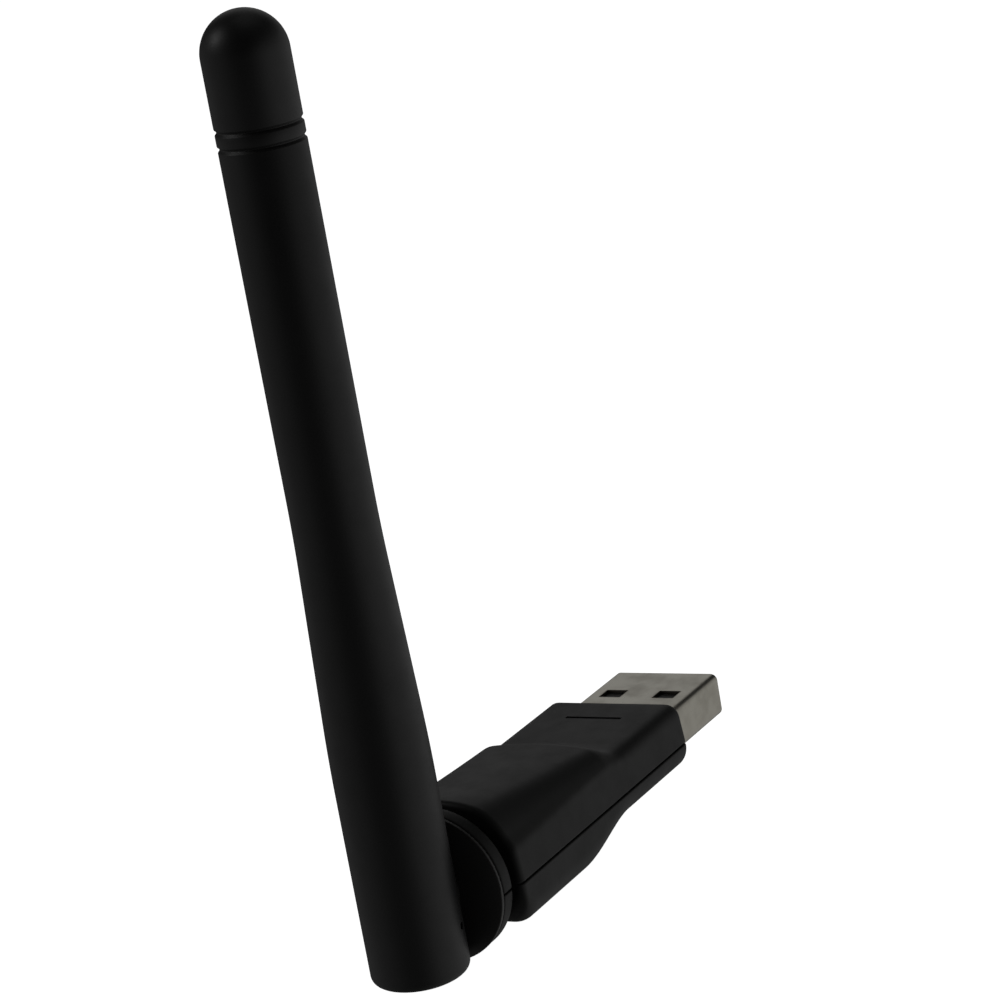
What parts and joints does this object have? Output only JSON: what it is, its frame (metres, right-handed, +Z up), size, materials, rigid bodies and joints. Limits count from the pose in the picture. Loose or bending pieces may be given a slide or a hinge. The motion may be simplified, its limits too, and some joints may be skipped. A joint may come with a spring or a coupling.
{
  "type": "usb wifi adapter",
  "caption": "Black USB wireless network adapter: a stepped two-part housing with a metal plug at one end and a swivelling stick antenna at the other.",
  "frame": {"origin": "centre of the plug where it leaves the housing's front face", "axes": "+X out of the plug's mouth, +Y to the left, +Z up along the antenna at rest; the antenna swivels about the X axis"},
  "size_m": [0.0598, 0.0156, 0.0913],
  "materials": {
    "housing_plastic": "satin black moulded plastic",
    "antenna_plastic": "soft matt black moulded plastic",
    "knuckle_plastic": "matt black moulded plastic",
    "plug_steel": "nickel-plated sheet steel",
    "insulator_plastic": "black heat-resistant moulding",
    "contact_gold": "gold-plated contacts",
    "board_laminate": "green solder mask over glass laminate",
    "chip_plastic": "black moulding compound",
    "can_metal": "drawn metal can",
    "ferrite": "dark ferrite",
    "ceramic": "tan ceramic with tinned ends",
    "lamp_lens": "clear lamp lens",
    "clear_guide": "smoked clear moulding",
    "lead_jacket": "black fluoropolymer jacket",
    "solder": "bright solder",
    "ring_rubber": "soft black rubber",
    "washer_nylon": "natural nylon",
    "clip_steel": "spring steel",
    "brass_tube": "drawn brass",
    "copper_wire": "bare copper"
  },
  "bodies": {
    "housing": {"upper_shell": "housing_plastic", "lower_shell": "housing_plastic", "plug_shell": "plug_steel", "plug_insulator": "insulator_plastic", "plug_contacts": "contact_gold", "circuit_board": "board_laminate", "wifi_chip": "chip_plastic", "crystal": "can_metal", "voltage_regulator": "chip_plastic", "power_inductor": "ferrite", "chip_capacitors": "ceramic", "chip_resistors": "chip_plastic", "status_led": "lamp_lens", "light_guide": "clear_guide", "board_coax": "lead_jacket", "coax_solder": "solder"},
    "antenna": {"swivel_knuckle": "knuckle_plastic", "friction_ring": "ring_rubber", "thrust_washer": "washer_nylon", "retaining_clip": "clip_steel", "locking_pin": "knuckle_plastic", "antenna_sleeve": "antenna_plastic", "tip_cap": "antenna_plastic", "antenna_coax": "lead_jacket", "balun_tube": "brass_tube", "radiator_wire": "copper_wire", "coax_spacer": "washer_nylon", "centering_ring": "washer_nylon", "tip_spacer": "washer_nylon"}
  },
  "joints": [
    {"name": "antenna_swivel", "type": "hinge", "parent": "housing", "child": "antenna", "pos_m": [-0.0383, 0, 0], "axis": [1, 0, 0], "range_deg": [-90, 90]}
  ]
}
